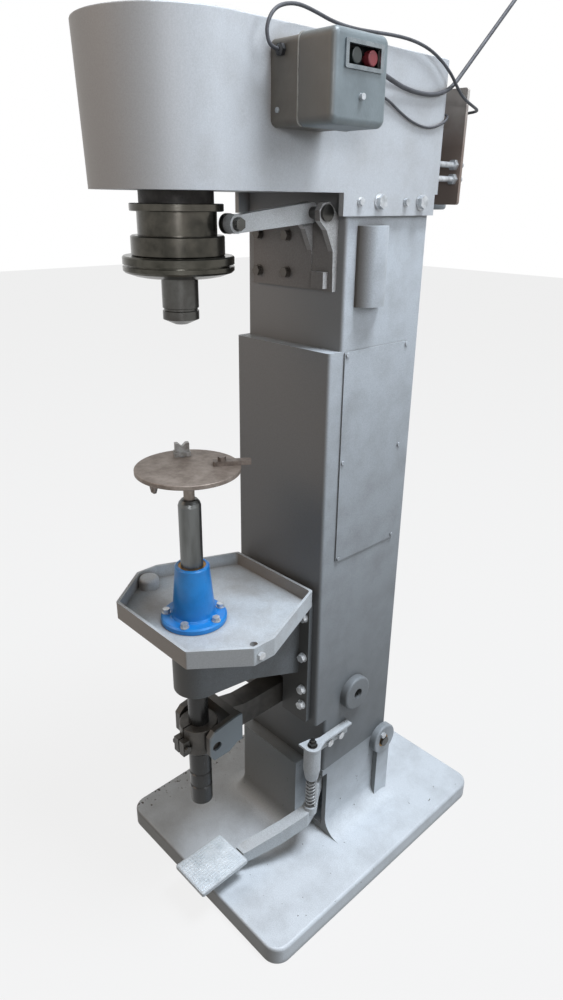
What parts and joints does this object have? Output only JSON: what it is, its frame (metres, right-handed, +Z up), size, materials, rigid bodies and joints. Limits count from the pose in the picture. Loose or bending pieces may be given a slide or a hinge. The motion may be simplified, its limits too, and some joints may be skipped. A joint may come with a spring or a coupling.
{
  "type": "can seamer",
  "caption": "Floor-standing can seamer: cast base, box column, belt-driven seaming head with shift collar, round-topped drip table and pedal-lifted can plate.",
  "frame": {"origin": "on the floor under the base casting, below the common axis of the spindle and the lift shaft", "axes": "+Z up along the spindle axis, -Y towards the operator, +Y towards the column, +X to the side with the starter"},
  "size_m": [0.536, 0.8444, 1.83],
  "materials": {
    "frame_paint": "satin",
    "blue_paint": "satin",
    "starter_paint": "satin",
    "machined_steel": "machined",
    "worn_steel": "worn",
    "oily_steel": "oily",
    "dark_iron": "as cast",
    "zinc_fasteners": "zinc plated",
    "chrome_bezel": "polished",
    "bronze": "machined",
    "black_plastic": "matte",
    "red_plastic": "gloss",
    "green_plastic": "gloss",
    "cable_rubber": "matte"
  },
  "bodies": {
    "frame": {"base_casting": "frame_paint", "column_frame": "frame_paint", "access_cover": "frame_paint", "rod_cover": "frame_paint", "head_housing": "frame_paint", "head_lid": "frame_paint", "knee_bracket": "frame_paint", "table_tray": "frame_paint", "motor_plate": "frame_paint", "motor_body": "frame_paint", "terminal_box": "frame_paint", "guide_housing": "blue_paint", "starter_base": "starter_paint", "starter_cover": "starter_paint", "spindle_bearings": "machined_steel", "fork_shaft": "machined_steel", "lever_pin": "machined_steel", "spring_rod": "machined_steel", "return_spring": "oily_steel", "lever_bracket": "dark_iron", "spring_bracket": "dark_iron", "bearing_cartridge": "dark_iron", "cover_screws": "zinc_fasteners", "lid_screws": "zinc_fasteners", "head_bolts": "zinc_fasteners", "column_bolts": "zinc_fasteners", "guide_bolts": "zinc_fasteners", "tension_bolts": "zinc_fasteners", "starter_screws": "zinc_fasteners", "cable_hook": "zinc_fasteners", "window_bezel": "chrome_bezel", "guide_bushes": "bronze", "pedal_bushes": "bronze", "contactor": "black_plastic", "cable_glands": "black_plastic", "supply_cable": "cable_rubber", "motor_cable": "cable_rubber", "earth_wire": "cable_rubber", "drive_belt": "cable_rubber"},
    "spindle_unit": {"spindle": "machined_steel", "spindle_pulley": "dark_iron", "seaming_head": "oily_steel"},
    "shift_collar": {"shift_collar": "oily_steel"},
    "motor_rotor": {"motor_rotor": "dark_iron"},
    "seam_lever": {"seam_lever": "oily_steel", "lever_roller": "machined_steel"},
    "lift": {"lift_shaft": "machined_steel", "lift_collar": "dark_iron"},
    "can_plate": {"can_plate": "worn_steel", "wing_screw": "worn_steel"},
    "v_stop": {"v_stop": "worn_steel"},
    "arm_stop": {"arm_stop": "worn_steel"},
    "fork": {"fork_lever": "dark_iron"},
    "link": {"link_plates": "oily_steel", "link_pins": "machined_steel"},
    "pedal": {"pedal_lever": "dark_iron", "pedal_pad": "worn_steel", "pedal_shaft": "machined_steel"},
    "start_button": {"start_button": "green_plastic"},
    "stop_button": {"stop_button": "red_plastic"}
  },
  "joints": [
    {"name": "spindle_spin", "type": "hinge", "parent": "frame", "child": "spindle_unit", "pos_m": [0, 0, 1.5], "axis": [0, 0, 1], "continuous": true},
    {"name": "motor_spin", "type": "hinge", "parent": "frame", "child": "motor_rotor", "pos_m": [0, 0.619, 1.6], "axis": [0, 0, 1], "continuous": true},
    {"name": "seam_lever_hinge", "type": "hinge", "parent": "frame", "child": "seam_lever", "pos_m": [0, 0.22, 1.4285], "axis": [-1, 0, 0], "range_deg": [0, 4]},
    {"name": "collar_slide", "type": "slide", "parent": "spindle_unit", "child": "shift_collar", "axis": [0, 0, 1], "range_m": [0, 0.0115]},
    {"name": "pedal_hinge", "type": "hinge", "parent": "frame", "child": "pedal", "pos_m": [0, 0.45, 0.225], "axis": [1, 0, 0], "range_deg": [0, 3.3], "stiffness_Nm_per_rad": 180, "springref_deg": -2.86, "deforming": ["return_spring"]},
    {"name": "fork_hinge", "type": "hinge", "parent": "frame", "child": "fork", "pos_m": [0, 0.339, 0.426], "axis": [-1, 0, 0], "range_deg": [0, 4.2]},
    {"name": "lift_slide", "type": "slide", "parent": "frame", "child": "lift", "axis": [0, 0, 1], "range_m": [0, 0.0245]},
    {"name": "link_slide", "type": "slide", "parent": "frame", "child": "link", "axis": [0, 0, -1], "range_m": [0, 0.0036]},
    {"name": "can_plate_spin", "type": "hinge", "parent": "lift", "child": "can_plate", "pos_m": [0, 0, 0.98], "axis": [0, 0, 1], "continuous": true},
    {"name": "v_stop_slide", "type": "slide", "parent": "can_plate", "child": "v_stop", "axis": [-0.891, 0.454, 0], "range_m": [-0.01, 0.01]},
    {"name": "arm_stop_slide", "type": "slide", "parent": "can_plate", "child": "arm_stop", "axis": [0.5446, 0.8387, 0], "range_m": [-0.01, 0.01]},
    {"name": "start_button_press", "type": "slide", "parent": "frame", "child": "start_button", "axis": [-1, 0, 0], "range_m": [0, 0.004], "stiffness_N_per_m": 400, "springref_m": -0.001},
    {"name": "stop_button_press", "type": "slide", "parent": "frame", "child": "stop_button", "axis": [-1, 0, 0], "range_m": [0, 0.004], "stiffness_N_per_m": 400, "springref_m": -0.001}
  ],
  "couplings": [
    {"joint": "motor_spin", "follows": "spindle_spin", "ratio": 3.4138},
    {"joint": "collar_slide", "follows": "seam_lever_hinge", "m_per_rad": 0.162},
    {"joint": "fork_hinge", "follows": "pedal_hinge", "ratio": 1.2424},
    {"joint": "lift_slide", "follows": "pedal_hinge", "m_per_rad": 0.42118},
    {"joint": "link_slide", "follows": "pedal_hinge", "m_per_rad": 0.0615}
  ]
}
